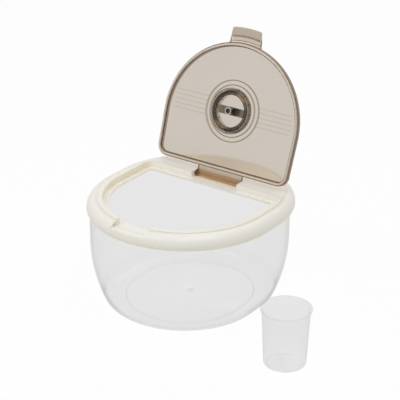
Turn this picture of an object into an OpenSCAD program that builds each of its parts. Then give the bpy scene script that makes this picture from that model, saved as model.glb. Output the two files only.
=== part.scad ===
// Rice bin with a flip lid: a clear tub, a collar that carries the lid's hinge,
// a smoked lid with a rotary date dial, and the measuring cup that goes with it.
// Origin: centre of the tub's foot, on the surface it stands on. +Z is up and
// the front, where the lid's finger tab is, faces -Y. The lid is drawn open.

/* [Tub] */
// Half of the tub's width at its rim
tub_half_width = 125.5; // [120:0.5:126]
// Straight length of each long side, between the round ends
tub_straight = 24; // [16:1:30]
// Height of the tub's rim, inside the collar
tub_rim_z = 138.4; // [137:0.1:138.5]
// Wall thickness of the tub
tub_wall = 2.4; // [1.8:0.1:3]
// Radius of the curve from the foot up into the wall
tub_foot_curve = 16.5; // [14:0.5:22]
// Radius of the gently bulged wall
tub_side_curve = 192; // [170:1:240]
// Height at which the wall turns upright
tub_upright_z = 88; // [80:1:100]
// Half of the width of the raised panel under the tub
foot_panel_half_width = 81.5; // [70:0.5:86]
// Straight length of that panel's sides
foot_panel_straight = 17; // [10:1:24]
// How far that panel is raised, so that the tub stands on a ring
foot_rise = 1.2; // [0.6:0.1:1.6]

/* [Collar] */
// Half of the collar's width
collar_half_width = 130; // [129:0.5:132]
// Half of the collar's length, front to back
collar_half_length = 140.5; // [139.5:0.5:143]
// Radius of the collar's two rear corners
collar_rear_radius = 122.5; // [118:0.5:126]
// Width and radius of the rounded shoulder that runs round the collar
shoulder_r = 14; // [12:0.5:15]
// Height of the shoulder's widest point
shoulder_z = 133.7; // [132:0.1:135]
// Height of the collar's lower lip
collar_lip_z = 128.2; // [127:0.1:129]
// Height of the collar's flat top
deck_z = 149.1; // [148.5:0.1:150]
// Thickness of the collar's top, walls and ledge
collar_wall = 2.6; // [2.2:0.1:3]

/* [Opening] */
// Radius of the round front of the opening
opening_r = 107.5; // [107:0.1:109]
// Y of the centre of that round front
opening_centre_y = -13.2; // [-13.5:0.1:-12.8]
// Y of the straight rear wall of the opening
opening_rear_y = 53.9; // [53.7:0.1:54.3]
// Radius of the opening's two rear corners
opening_corner_r = 12; // [10:0.5:13]
// Lean of the opening's side walls, in degrees
opening_lean = 0; // [0:0.5:1.5]
// Height of the ledge that the lid's seal rests on
ledge_z = 141.2; // [140.8:0.1:141.2]
// Width of the ledge
ledge_w = 7.8; // [6:0.2:9]
// Half of the width of the notch for the finger tab
tab_notch_half_width = 25.5; // [25:0.1:27]

/* [Hinge] */
// Y of the hinge axis
hinge_y = 64.5; // [64.3:0.1:64.7]
// Height of the hinge axis
hinge_z = 144.6; // [144.5:0.1:144.7]
// How far the lid is open, in degrees from closed
lid_open = 109; // [0:1:109]
// Radius of the hinge barrel
barrel_r = 4.1; // [3.8:0.1:4.2]
// Half of the length of the hinge barrel
barrel_half_length = 36; // [34:0.5:36.3]
// Radius of the two stub pins at the barrel's ends
stub_r = 2.5; // [2:0.1:2.7]
// Length of each stub pin
stub_length = 4; // [3:0.5:4.5]
// Half of the width of the pocket for the barrel
pocket_half_width = 36.8; // [36.6:0.1:37.2]
// Y of the pocket's rear wall, which stops the open lid
pocket_rear_y = 69.75; // [69.7:0.05:70.5]

/* [Lid] */
// Radius of the lid's round front
lid_r = 106.6; // [105.6:0.1:106.9]
// Distance from the hinge axis to the centre of that round front
lid_centre_v = 77.7; // [77.4:0.1:78]
// Distance from the hinge axis to the lid's rear edge
lid_rear_v = 11.75; // [11.5:0.05:12]
// Radius of the lid's two rear corners
lid_corner_r = 15; // [12:0.5:16]
// Lean of the lid's sides, in degrees
lid_lean = 1.4; // [0:0.1:3]
// Thickness of the lid's plate
lid_plate_t = 2.3; // [1.8:0.1:2.4]
// Width of the band round the lid that holds the seal
lid_band_w = 5.3; // [5:0.1:6]
// Half of the width of the finger tab
tab_half_width = 24.3; // [20:0.1:24.4]
// Distance from the hinge axis to the end of the finger tab
tab_end_v = 204.8; // [202:0.1:204.8]

/* [Date dial] */
// Distance from the hinge axis to the dial's centre
dial_v = 92.8; // [90:0.1:95]
// Radii of the two round steps in the lid's plate
dial_step_r = [42, 35.6];
// Outer radius of the keeper's ring, inside the lid
dial_r = 31.2; // [29:0.1:32]
// Outer radius of the knob's ring, outside the lid
knob_r = 29.2; // [27:0.1:31]
// Radius of the two half-moon windows in both rings
window_r = 21.8; // [20:0.1:23]
// Width of the bar across both rings
dial_bar_w = 10.7; // [10.7:0.1:12]
// Height of the knob's ring
knob_ring_h = 3; // [2.5:0.5:6]
// Height of the finger grip above the knob's ring
grip_h = 5; // [4:0.5:9]
// Length of the finger grip
grip_length = 17; // [16:0.5:36]

/* [Measuring cup] */
// Where the cup stands beside the bin
cup_at = [205.6, -84];
// Height of the cup
cup_h = 78; // [70:1:90]
// Outer radius of the cup's wall at its rim
cup_top_r = 30.4; // [28:0.1:33]
// Outer radius of the cup's wall at its foot
cup_foot_r = 26.9; // [24:0.1:29]
// Wall thickness of the cup
cup_wall = 1.2; // [1:0.1:1.6]
// Outer radius of the cup's rim
cup_rim_r = 32.5; // [31:0.1:36]
// Radius of the curve at the cup's foot
cup_foot_curve = 4; // [3:0.5:6]

/* [Hidden] */

$fn = 128;
eps = 0.01;      // overlap that joins two solids
tuck = 0.002;    // how far a straight edge lies inside the arc that it runs into
seat = 0.1;      // gap beside the tub's rim inside the collar

// Tub: a section swept round two half circles and two straight sides.
tub_turn_y = tub_straight / 2;
side_centre = [tub_half_width - tub_side_curve, tub_upright_z];
foot_centre = [side_centre[0] + sqrt(pow(tub_side_curve - tub_foot_curve, 2)
               - pow(tub_upright_z - tub_foot_curve, 2)), tub_foot_curve];
// Height at which the foot's curve meets the wall's curve
meet_z = tub_upright_z - tub_side_curve * (tub_upright_z - tub_foot_curve)
         / (tub_side_curve - tub_foot_curve);
floor_z = foot_rise + tub_wall;
gate_r = 2.2;

// Collar: front half circle, straight sides, two rear corner arcs.
front_turn_y = -(collar_half_length - collar_half_width);
rear_turn = [collar_half_width - collar_rear_radius, collar_half_length - collar_rear_radius];
lip_inset = 3.2;
lip_curve_r = (pow(shoulder_z - collar_lip_z, 2) + pow(lip_inset, 2)) / (2 * lip_inset);
valley_z = shoulder_z + shoulder_r;
deck_chamfer = 0.6;
groove_top_z = 141;
rib_low_z = 133.6;
rib_t = 2.2;
roof_low_z = 144.9;
pocket_floor_t = 3.4;
ear_t = 5;
trough_r = barrel_r + 0.5;
stub_clearance = 0.05;

// Lid, in its own frame: the hinge axis is the X axis, the plate lies flat with
// its outside up, and the front is towards -Y.
plate_in_z = 1;
plate_out_z = plate_in_z + lid_plate_t;
band_low_z = -1.3;
seal_low_z = ledge_z - hinge_z + 0.1;
channel_top_z = 0.9;
channel_wall = 1.2;
seal_gap = 0.1;
lip_turn_v = hinge_y - front_turn_y;   // centre of the collar's round front
lip_half_width = tab_half_width - 2.4;
lip_corner_r = 4;
lip_in_v = tab_end_v - 12.4;
lip_low_z = -2.4;
ridge_r = lid_r + 5.9;
ridge_h = 3;
ridge_half_w = 3.6;
step_depth = 0.5;
rib_h = 0.6;
rib_w = 0.9;
rib_pitch = 6.27;
rib_end_x = 93;

// Dial, in its own frame: its turning axis is Z, at the hinge axis' level Z = 0.
dish_in_z = plate_in_z - 2 * step_depth;
dish_out_z = plate_out_z - 2 * step_depth;
dial_gap = 0.2;
knob_low_z = dish_out_z + dial_gap;
stem_r = 3;
stem_low_z = -4.6;
key_w = 4.4;
o_ring_in_r = 3.15;
o_ring_out_r = 5.05;
o_ring_low_z = dish_out_z - 1.2;
keeper_top_z = dish_in_z - dial_gap;
keeper_low_z = -4.7;
keeper_bar_z = -4;
boss_r = [5.3, 5];
boss_low_z = -9.4;
screw_seat_z = -6;
counterbore_r = 3.5;
washer_t = 0.6;
washer_r = 3.2;
screw_head_r = 2.8;
screw_head_h = 1.8;
screw_r = 1.5;
screw_bore_r = 1.6;
screw_top_z = 3.5;
recess_w = 0.9;

// Cup: lean of its wall, and the centre of the curve at its foot.
cup_lean = atan((cup_top_r - cup_foot_r) / cup_h);
cup_curve_x = cup_foot_r - cup_foot_curve * (1 - sin(cup_lean)) / cos(cup_lean);
cup_rim_h = 2.2;

module tub() {
    color("gainsboro", 0.35)
    difference() {
        sweep_tub() tub_section(0, 0);
        sweep_tub() tub_section(tub_wall, floor_z);
        translate([0, 0, -1]) linear_extrude(foot_rise + 1) difference() {
            stadium(foot_panel_half_width, foot_panel_straight / 2);
            circle(gate_r);
        }
        translate([0, 0, -1]) cylinder(foot_rise + 0.6, r = gate_r);
    }
}

// Half of the tub's section, moved in by `inset`, cut off below `low`.
module tub_section(inset, low) {
    top = tub_rim_z + (inset > 0 ? 1 : 0);
    intersection() {
        translate([0, low]) square([tub_half_width + 1, top - low]);
        union() {
            translate([0, tub_upright_z])
                square([tub_half_width - inset, top - tub_upright_z]);
            intersection() {
                translate(side_centre) circle(tub_side_curve - inset, $fn = 360);
                translate([0, meet_z]) square([tub_half_width + 1, tub_upright_z - meet_z + eps]);
            }
            intersection() {
                translate(foot_centre) circle(tub_foot_curve - inset);
                square([tub_half_width, meet_z + eps]);
            }
            square([foot_centre[0], meet_z + eps]);
        }
    }
}

// Sweeps a half section, drawn at X >= 0, round the tub's outline.
module sweep_tub() {
    for (end = [0, 1]) rotate([0, 0, end * 180]) translate([0, tub_turn_y, 0])
        rotate_extrude(angle = 180) children();
    translate([0, tub_turn_y, 0]) rotate([90, 0, 0]) linear_extrude(2 * tub_turn_y) {
        children();
        mirror([1, 0]) children();
    }
}

module stadium(r, turn_y) {
    for (side = [-1, 1]) translate([0, side * turn_y]) circle(r);
    translate([-r, -turn_y]) square([2 * r, 2 * turn_y]);
}

// Sweeps a section round the collar's outline. $edge is the X of the outline in it.
module sweep_collar() {
    translate([0, front_turn_y, 0]) rotate([0, 0, 180]) rotate_extrude(angle = 180)
        let ($edge = collar_half_width) children();
    for (side = [0, 1]) mirror([side, 0, 0]) {
        translate([rear_turn[0], rear_turn[1], 0]) rotate_extrude(angle = 90)
            let ($edge = collar_rear_radius) children();
        translate([0, rear_turn[1], 0]) rotate([90, 0, 0])
            linear_extrude(rear_turn[1] - front_turn_y)
            let ($edge = collar_half_width) children();
    }
    translate([-rear_turn[0], 0, 0]) rotate([90, 0, 90]) linear_extrude(2 * rear_turn[0])
        let ($edge = collar_half_length) children();
}

// The collar's outline from above, moved in by `inset`.
module collar_outline(inset) {
    r = collar_half_width - inset;
    translate([0, front_turn_y]) circle(r);
    translate([-r, front_turn_y]) square([2 * r, rear_turn[1] - front_turn_y]);
    for (side = [-1, 1]) translate([side * rear_turn[0], rear_turn[1]])
        circle(collar_rear_radius - inset);
    translate([-rear_turn[0], 0]) square([2 * rear_turn[0], collar_half_length - inset]);
}

// Rounded shoulder of the collar, from its lower lip up to the valley line, and
// the edge of the flat deck that starts there.
module shoulder_section() {
    valley_x = $edge - shoulder_r;
    intersection() {
        translate([valley_x, shoulder_z]) circle(shoulder_r);
        translate([valley_x, shoulder_z]) square(shoulder_r + 1);
    }
    intersection() {
        translate([$edge - lip_curve_r, shoulder_z]) circle(lip_curve_r);
        translate([$edge - lip_curve_r, collar_lip_z])
            square([lip_curve_r + 1, shoulder_z - collar_lip_z + eps]);
    }
    translate([valley_x - 1, collar_lip_z])
        square([shoulder_r + 1 - lip_curve_r, shoulder_z - collar_lip_z + eps]);
    translate([valley_x - 1, shoulder_z]) square([1 + eps, shoulder_r]);
    translate([valley_x - 1, valley_z - eps])
        polygon([[0, 0], [1, 0], [1, deck_z - deck_chamfer - valley_z + eps],
                 [1 - deck_chamfer, deck_z - valley_z + eps], [0, deck_z - valley_z + eps]]);
}

// A D: a round front, leaning straight sides and a straight rear with round corners.
// The straight edges lie a hair inside the circles that they run into.
module d_shape(r, centre_y, rear_y, corner, lean) {
    corner_y = rear_y - corner;
    corner_x = (r + centre_y * sin(lean) - corner - sin(lean) * corner_y) / cos(lean);
    side_y = centre_y + r * sin(lean);
    out = [cos(lean), sin(lean)];
    right = [[0, centre_y] + (r - tuck) * out, [corner_x, corner_y] + (corner - tuck) * out,
             [corner_x, corner_y], [corner_x, rear_y - tuck]];
    intersection() {
        translate([0, centre_y]) circle(r, $fn = 180);
        translate([-r - 1, centre_y - r - 1]) square([2 * r + 2, side_y - centre_y + r + 4]);
    }
    for (side = [-1, 1]) translate([side * corner_x, corner_y]) circle(corner);
    polygon([for (i = [0:3]) right[i], for (i = [3:-1:0]) [-right[i][0], right[i][1]]]);
}

module opening(grow) {
    d_shape(opening_r + grow, opening_centre_y, opening_rear_y + grow,
            opening_corner_r + grow, opening_lean);
}

module collar() {
    color("ivory")
    difference() {
        union() {
            difference() {
                union() {
                    sweep_collar() shoulder_section();
                    translate([0, 0, deck_z - collar_wall]) linear_extrude(collar_wall)
                        collar_outline(shoulder_r + 1 - eps);
                }
                sweep_tub() collar_hollow();
            }
            seat_ribs();
            opening_wall();
            tab_notch_floor();
            hinge_pocket();
        }
        translate([0, 0, ledge_z]) linear_extrude(deck_z) opening(0);
        translate([0, 0, collar_lip_z - 1]) linear_extrude(deck_z) opening(-ledge_w);
        tab_notch();
        barrel_space();
    }
}

// Hollow under the collar: a groove for the tub's rim, with a rib inside the rim.
module collar_hollow() {
    low = collar_lip_z - 1;
    outer = tub_half_width + seat;
    inner = tub_half_width - tub_wall - seat;
    translate([0, low]) square([outer, rib_low_z - low]);
    translate([inner, low]) square([outer - inner, groove_top_z - low]);
    translate([0, low]) square([inner - rib_t, roof_low_z - low]);
}

// Short ribs across the groove that the tub's rim seats on.
module seat_ribs() {
    for (end = [-1, 1], i = [0:8]) translate([0, end * tub_turn_y, 0])
        rotate([0, 0, end * (i * 20 + 10)])
            translate([tub_half_width - tub_wall - 1, -1.2, tub_rim_z])
                cube([tub_wall + 2, 2.4, groove_top_z + 1 - tub_rim_z]);
}

// Wall round the opening, with the ledge at its foot.
module opening_wall() {
    translate([0, 0, ledge_z - collar_wall]) linear_extrude(deck_z - ledge_z)
        difference() {
            opening(collar_wall);
            opening(-ledge_w);
        }
}

// Floor and cheeks of the notch for the finger tab.
module tab_notch_floor() {
    half = tab_notch_half_width + collar_wall;
    low = ledge_z - collar_wall;
    rear_y = opening_centre_y - opening_r + 18;
    for (slab = [[2.2, collar_wall], [9, deck_z - collar_wall - low + eps]]) intersection() {
        translate([-half, -collar_half_length, low])
            cube([2 * half, collar_half_length + rear_y, slab[1]]);
        linear_extrude(deck_z) difference() {
            collar_outline(slab[0]);
            opening(-ledge_w);
        }
    }
}

module tab_notch() {
    translate([-tab_notch_half_width, -collar_half_length - 1, ledge_z])
        cube([2 * tab_notch_half_width, 45, 20]);
}

// Box under the deck that the hinge barrel lies in, with an ear at each end.
module hinge_pocket() {
    half = pocket_half_width + ear_t;
    low = ledge_z - pocket_floor_t;
    translate([-half, opening_rear_y, low])
        cube([2 * half, pocket_rear_y + collar_wall - opening_rear_y, deck_z - low - eps]);
}

module barrel_space() {
    half = pocket_half_width;
    translate([-half, opening_rear_y - 1, ledge_z])
        cube([2 * half, pocket_rear_y - opening_rear_y + 1, 20]);
    translate([-half, hinge_y, hinge_z]) rotate([0, 90, 0]) cylinder(2 * half, r = trough_r);
    bore_half = half + stub_length + 0.3;
    translate([-bore_half, hinge_y, hinge_z]) rotate([0, 90, 0])
        cylinder(2 * bore_half, r = stub_r + stub_clearance);
}

// Carries a piece from the lid's own frame to its open place on the bin.
module open_lid() {
    translate([0, hinge_y, hinge_z]) rotate([-lid_open, 0, 0]) children();
}

module lid_outline(inset) {
    d_shape(lid_r - inset, -lid_centre_v, -lid_rear_v - inset, lid_corner_r - inset, lid_lean);
}

module lid() {
    color("rosybrown", 0.7)
    open_lid() difference() {
        union() {
            translate([0, 0, plate_in_z]) linear_extrude(lid_plate_t) lid_outline(0);
            translate([0, 0, band_low_z]) linear_extrude(plate_in_z - band_low_z + eps)
                difference() {
                    lid_outline(0);
                    lid_outline(lid_band_w);
                }
            finger_tab();
            hinge_leaf();
            for (i = [0, 1]) at_dial() translate([0, 0, plate_in_z - (i + 1) * step_depth])
                cylinder(lid_plate_t, r = dial_step_r[i]);
            ribs();
        }
        translate([0, 0, band_low_z - 1]) linear_extrude(channel_top_z - band_low_z + 1)
            seal_outline(0);
        for (i = [0, 1]) at_dial() translate([0, 0, plate_out_z - (i + 1) * step_depth])
            cylinder(5, r = dial_step_r[i] - 1.2);
        at_dial() translate([0, 0, -5]) cylinder(20, r = stem_r + seat, $fn = 96);
        at_dial() translate([0, 0, o_ring_low_z]) cylinder(5, r = o_ring_out_r + seat);
    }
}

// The channel round the lid's edge, or the seal in it when it is moved in.
module seal_outline(inset) {
    difference() {
        lid_outline(channel_wall + inset);
        lid_outline(lid_band_w - channel_wall - inset);
    }
}

module at_dial() {
    translate([0, -dial_v, 0]) children();
}

// Raised lines from the dish out to both sides, on the lid's inside.
module ribs() {
    for (side = [-1, 1], i = [-2:2]) {
        start_x = sqrt(pow(dial_step_r[0], 2) - pow(i * rib_pitch, 2)) - 0.5;
        translate([side > 0 ? start_x : -rib_end_x, -dial_v + i * rib_pitch - rib_w / 2,
                   plate_in_z - rib_h])
            cube([rib_end_x - start_x, rib_w, rib_h + eps]);
    }
}

// Tab at the front: a plate with a round ridge across its outside, and a lip
// turned down at its end.
module finger_tab() {
    front_v = lid_centre_v + lid_r;
    ridge_curve_r = (pow(ridge_half_w, 2) + pow(ridge_h, 2)) / (2 * ridge_h);
    side_points = [[tab_half_width + 0.8, front_v - 8], [tab_half_width + 0.8, front_v - 2.6],
                   [tab_half_width, front_v - 0.4], [tab_half_width, front_v + 3],
                   [tab_half_width - 1.5, lip_in_v + 4]];
    translate([0, 0, plate_in_z]) linear_extrude(lid_plate_t) for (side = [-1, 1])
        polygon(concat([[0, -front_v + 8]], [for (p = side_points) [side * p[0], -p[1]]],
                       [[0, -lip_in_v - 4]]));
    translate([0, 0, lip_low_z]) linear_extrude(plate_out_z - lip_low_z) lip_outline();
    intersection() {
        translate([0, -lid_centre_v, plate_out_z + ridge_h - ridge_curve_r])
            rotate_extrude($fn = 360) translate([ridge_r, 0]) circle(ridge_curve_r);
        translate([-lip_half_width, -front_v - 12, plate_in_z + 0.5])
            cube([2 * lip_half_width, 30, 10]);
    }
}

// The lip's end and its inner edge follow the collar's round front.
module lip_outline() {
    end_r = tab_end_v - lip_turn_v;
    corner_x = lip_half_width - lip_corner_r;
    corner_v = lip_turn_v + sqrt(pow(end_r - lip_corner_r + 0.15, 2) - pow(corner_x, 2));
    difference() {
        intersection() {
            union() {
                for (side = [-1, 1])
                    translate([side * corner_x, -corner_v]) circle(lip_corner_r, $fn = 64);
                translate([-corner_x, -tab_end_v - 1]) square([2 * corner_x, 10]);
                translate([-lip_half_width, -corner_v]) square([2 * lip_half_width, 15]);
            }
            translate([0, -lip_turn_v]) circle(end_r, $fn = 360);
        }
        translate([0, -lip_turn_v]) circle(lip_in_v - lip_turn_v, $fn = 360);
    }
}

// Leaf from the lid's rear edge to the barrel, and a stub pin at each end.
module hinge_leaf() {
    half = barrel_half_length;
    translate([-half, -lid_rear_v - 1, plate_in_z]) cube([2 * half, lid_rear_v + 1, lid_plate_t]);
    translate([-half, 0, 0]) rotate([0, 90, 0]) cylinder(2 * half, r = barrel_r);
    pin_half = half + stub_length + 0.5;
    translate([-pin_half, 0, 0]) rotate([0, 90, 0]) cylinder(2 * pin_half, r = stub_r);
}

module lid_seal() {
    color("whitesmoke", 0.6)
    open_lid() translate([0, 0, seal_low_z]) linear_extrude(channel_top_z - seal_low_z)
        seal_outline(seal_gap);
}

// Bar across one of the dial's rings, from a level up.
module dial_bar(low, h) {
    translate([0, 0, low]) linear_extrude(h) intersection() {
        circle(window_r + 1);
        square([2 * window_r + 2, dial_bar_w], center = true);
    }
}

// Block that two fingers turn, narrower at its top.
module finger_grip() {
    w = dial_bar_w - 1.5;
    rotate([90, 0, 90]) translate([0, 0, -grip_length / 2]) linear_extrude(grip_length)
        polygon([[-w / 2, 0], [w / 2, 0], [w / 2 - 1.2, grip_h], [-w / 2 + 1.2, grip_h]]);
}

// Knob on the outside: barred ring with a grip, and a stem through the lid.
module dial_knob() {
    color("dimgray")
    open_lid() at_dial() difference() {
        union() {
            rotate_extrude() translate([0, knob_low_z]) polygon([[window_r, 0], [knob_r, 0],
                [knob_r - 0.3, 0.6], [knob_r - 1.8, knob_ring_h], [window_r, knob_ring_h]]);
            dial_bar(knob_low_z, knob_ring_h);
            translate([0, 0, knob_low_z + knob_ring_h - eps]) finger_grip();
            translate([0, 0, keeper_top_z]) cylinder(knob_low_z - keeper_top_z + 1, r = stem_r);
            intersection() {
                translate([0, 0, stem_low_z]) cylinder(6, r = stem_r);
                translate([-key_w / 2, -stem_r, stem_low_z]) cube([key_w, 2 * stem_r, 6]);
            }
        }
        translate([0, 0, -9]) cylinder(9 + screw_top_z + 0.5, r = screw_bore_r, $fn = 48);
    }
}

// Ring of flattened section under the knob, in a recess round the stem's hole.
module dial_o_ring() {
    color("black")
    open_lid() at_dial() rotate_extrude() intersection() {
        translate([(o_ring_in_r + o_ring_out_r) / 2, (o_ring_low_z + knob_low_z) / 2])
            circle((o_ring_out_r - o_ring_in_r) / 2, $fn = 48);
        translate([0, o_ring_low_z]) square([o_ring_out_r + 1, knob_low_z - o_ring_low_z]);
    }
}

// Keeper on the inside: barred ring with a boss for the screw, keyed to the stem.
module dial_keeper() {
    color("dimgray")
    open_lid() at_dial() difference() {
        union() {
            rotate_extrude() polygon([[window_r, keeper_top_z], [dial_r, keeper_top_z],
                [dial_r, keeper_low_z + 0.5], [dial_r - 0.5, keeper_low_z],
                [dial_r - 2.3, keeper_low_z], [dial_r - 2.8, keeper_low_z - 0.5],
                [dial_r - 4.2, keeper_low_z - 0.5], [dial_r - 4.8, keeper_low_z + 0.2],
                [window_r, keeper_bar_z]]);
            dial_bar(keeper_bar_z, keeper_top_z - keeper_bar_z);
            translate([0, 0, boss_low_z])
                cylinder(keeper_bar_z - boss_low_z + 1, boss_r[1], boss_r[0]);
        }
        intersection() {
            translate([0, 0, stem_low_z]) cylinder(7, r = stem_r + 0.05);
            translate([-key_w / 2 - 0.05, -5, stem_low_z]) cube([key_w + 0.1, 10, 7]);
        }
        translate([0, 0, boss_low_z - 1]) cylinder(12, r = screw_bore_r, $fn = 48);
        translate([0, 0, boss_low_z - 1]) cylinder(screw_seat_z - boss_low_z + 1, r = counterbore_r);
    }
}

module dial_washer() {
    color("silver")
    open_lid() at_dial() translate([0, 0, screw_seat_z - washer_t]) difference() {
        cylinder(washer_t, r = washer_r);
        translate([0, 0, -1]) cylinder(3, r = screw_bore_r, $fn = 48);
    }
}

// Screw with a domed head and a cross recess, driven from inside the lid.
module dial_screw() {
    head_z = screw_seat_z - washer_t;
    dome_r = (pow(screw_head_r, 2) + pow(screw_head_h - 0.6, 2)) / (2 * (screw_head_h - 0.6));
    color("silver")
    open_lid() at_dial() difference() {
        union() {
            rotate_extrude() {
                translate([0, head_z - 0.6]) square([screw_head_r, 0.6]);
                intersection() {
                    translate([0, head_z - screw_head_h + dome_r]) circle(dome_r, $fn = 180);
                    translate([0, head_z - screw_head_h]) square([screw_head_r, screw_head_h]);
                }
            }
            translate([0, 0, head_z - eps]) cylinder(screw_top_z - head_z, r = screw_r, $fn = 48);
        }
        for (turn = [0, 90]) rotate([0, 0, turn])
            translate([-1.9, -recess_w / 2, head_z - screw_head_h - 1])
                cube([3.8, recess_w, 2.3]);
    }
}

module measuring_cup() {
    color("gainsboro", 0.35)
    translate([cup_at[0], cup_at[1], 0]) rotate_extrude() difference() {
        union() {
            cup_section(0);
            translate([0, cup_h - cup_rim_h]) square([cup_rim_r, cup_rim_h]);
        }
        cup_section(cup_wall);
        translate([0, -1]) square([cup_foot_r - cup_foot_curve - 4, 1.4]);
    }
}

// Half of the cup's section, moved in by `inset`.
module cup_section(inset) {
    top = cup_h + (inset > 0 ? 1 : 0);
    curve_r = cup_foot_curve - inset;
    difference() {
        translate([cup_curve_x, cup_foot_curve]) circle(curve_r);
        translate([-1, 0]) square([1, cup_h]);
    }
    polygon([[0, inset], [cup_curve_x, inset], [cup_curve_x, cup_foot_curve],
             [cup_curve_x + curve_r * cos(cup_lean), cup_foot_curve - curve_r * sin(cup_lean)],
             [cup_foot_r + top * tan(cup_lean) - inset / cos(cup_lean), top], [0, top]]);
}

tub();
collar();
lid();
lid_seal();
dial_knob();
dial_o_ring();
dial_keeper();
dial_washer();
dial_screw();
measuring_cup();
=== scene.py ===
# %% [markdown]
# # Rice bin with a flip lid
# A clear tub with an ivory collar, a smoked lid that turns on it, a date dial through the
# lid and a measuring cup. The packed solids give every place and size, so each visible
# piece below is built in the same frame, in metres, and rides on the body it belongs to.

# %% Load the packed solids
import math

import bmesh
import bpy
from mathutils import Matrix, Vector


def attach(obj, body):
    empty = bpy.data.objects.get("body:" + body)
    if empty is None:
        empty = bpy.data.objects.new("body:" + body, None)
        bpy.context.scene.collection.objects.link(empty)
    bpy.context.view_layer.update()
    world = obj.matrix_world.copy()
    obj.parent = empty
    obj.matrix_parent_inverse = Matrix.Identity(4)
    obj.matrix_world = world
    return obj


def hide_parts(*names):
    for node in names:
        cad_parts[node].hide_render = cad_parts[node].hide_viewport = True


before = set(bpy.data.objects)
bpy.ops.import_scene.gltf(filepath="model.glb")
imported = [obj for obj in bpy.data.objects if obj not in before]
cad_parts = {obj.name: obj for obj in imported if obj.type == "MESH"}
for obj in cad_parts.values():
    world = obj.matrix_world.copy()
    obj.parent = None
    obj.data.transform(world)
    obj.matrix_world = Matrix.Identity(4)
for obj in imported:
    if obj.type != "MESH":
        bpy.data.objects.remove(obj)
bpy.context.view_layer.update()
# The bin's sizes are in millimetres. Times MM they are in metres, Blender's own unit.
MM = 0.001
RIGHT = Vector((1, 0, 0))
BACK = Vector((0, 1, 0))
UP = Vector((0, 0, 1))
ORIGIN = Vector((0, 0, 0))

# %% [markdown]
# ## Camera
# A catalogue view is taken with a long lens from far off, so that upright edges stay
# upright. A short lens close by would also fill the frame, but it would spread the collar
# and shrink the foot. The camera looks from the front right and a little above, and the
# shift moves the bin left and down in the frame without turning it.

# %% Place the camera
CAMERA_TURN = math.radians(35.8)
CAMERA_RISE = math.radians(25.62)
CAMERA_AWAY = 1.997
LOOK_AT = Vector((0, 0, 0.0936))
LENS_MM = 135
SENSOR_MM = 36
SHIFT = (0.0246, 0.0738)
SEEN_TO = 20


def direction(turn, rise):
    """From the bin towards a place turned anticlockwise from the front, in radians."""
    return Vector((math.sin(turn) * math.cos(rise), -math.cos(turn) * math.cos(rise), math.sin(rise)))


def aim(obj, place, target):
    """Put an object at place, with its -Z axis towards target."""
    obj.location = place
    obj.rotation_euler = (target - place).to_track_quat("-Z", "Y").to_euler()


camera = bpy.data.objects.new("camera", bpy.data.cameras.new("camera"))
bpy.context.scene.collection.objects.link(camera)
camera.data.lens = LENS_MM
camera.data.sensor_width = SENSOR_MM
camera.data.shift_x, camera.data.shift_y = SHIFT
camera.data.clip_end = SEEN_TO
aim(camera, LOOK_AT + CAMERA_AWAY * direction(CAMERA_TURN, CAMERA_RISE), LOOK_AT)
bpy.context.scene.camera = camera
bpy.context.scene.view_settings.view_transform = "Standard"
print("camera at", [round(c, 3) for c in camera.location])

# %% [markdown]
# ## Writing materials as sums
# A material is a graph of nodes, and most of its nodes are plain arithmetic. They could be
# added and linked one at a time, but a sum of five steps then takes fifteen lines. The
# class Wire stands for one output of the graph, and its operators add the Math nodes, so
# that a mask can be written as 1 - mask.


# %% Define Wire
class Wire:
    """One output socket in a material, on which + - * / and ** write Math nodes."""

    def __init__(self, recipe, socket):
        self.recipe = recipe
        self.socket = socket

    def math(self, operation, *values):
        """A Math node on those values."""
        return self.recipe.add("ShaderNodeMath", {"operation": operation}, dict(enumerate(values)))

    def __add__(self, other):
        return self.math("ADD", self, other)

    def __radd__(self, other):
        return self.math("ADD", other, self)

    def __sub__(self, other):
        return self.math("SUBTRACT", self, other)

    def __rsub__(self, other):
        return self.math("SUBTRACT", other, self)

    def __mul__(self, other):
        return self.math("MULTIPLY", self, other)

    def __rmul__(self, other):
        return self.math("MULTIPLY", other, self)

    def __truediv__(self, other):
        return self.math("DIVIDE", self, other)

    def __rtruediv__(self, other):
        return self.math("DIVIDE", other, self)

    def __pow__(self, other):
        return self.math("POWER", self, other)

    def greater(self, other):
        """The greater of two values."""
        return self.math("MAXIMUM", self, other)

    def lesser(self, other):
        """The lesser of two values."""
        return self.math("MINIMUM", self, other)

    def clamped(self, low=0, high=1):
        """This value, held between two limits."""
        return self.greater(low).lesser(high)

    def size(self):
        """This value without its sign."""
        return self.math("ABSOLUTE", self)

    def fraction(self):
        """What this value has after its decimal point."""
        return self.math("FRACT", self)

    def beyond(self, limit, blend=0.0003):
        """0 below a limit and 1 above it, blended over a short way in the value's own unit."""
        return ((self - limit) / blend + 0.5).clamped()

    def below(self, limit, blend=0.0003):
        """1 below a limit and 0 above it."""
        return 1 - self.beyond(limit, blend)


print("Wire can do:", [name.strip("_") for name, what in vars(Wire).items() if callable(what)])

# %% [markdown]
# ## Recipes
# A Recipe holds the graph of one material. Its add method makes every node that isn't
# plain arithmetic: its settings first, because they can change which sockets it has, and
# then the values and wires of its sockets. The other methods are short names for what the
# bin's finishes need again and again, such as the distance of a point from an axis.


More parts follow.
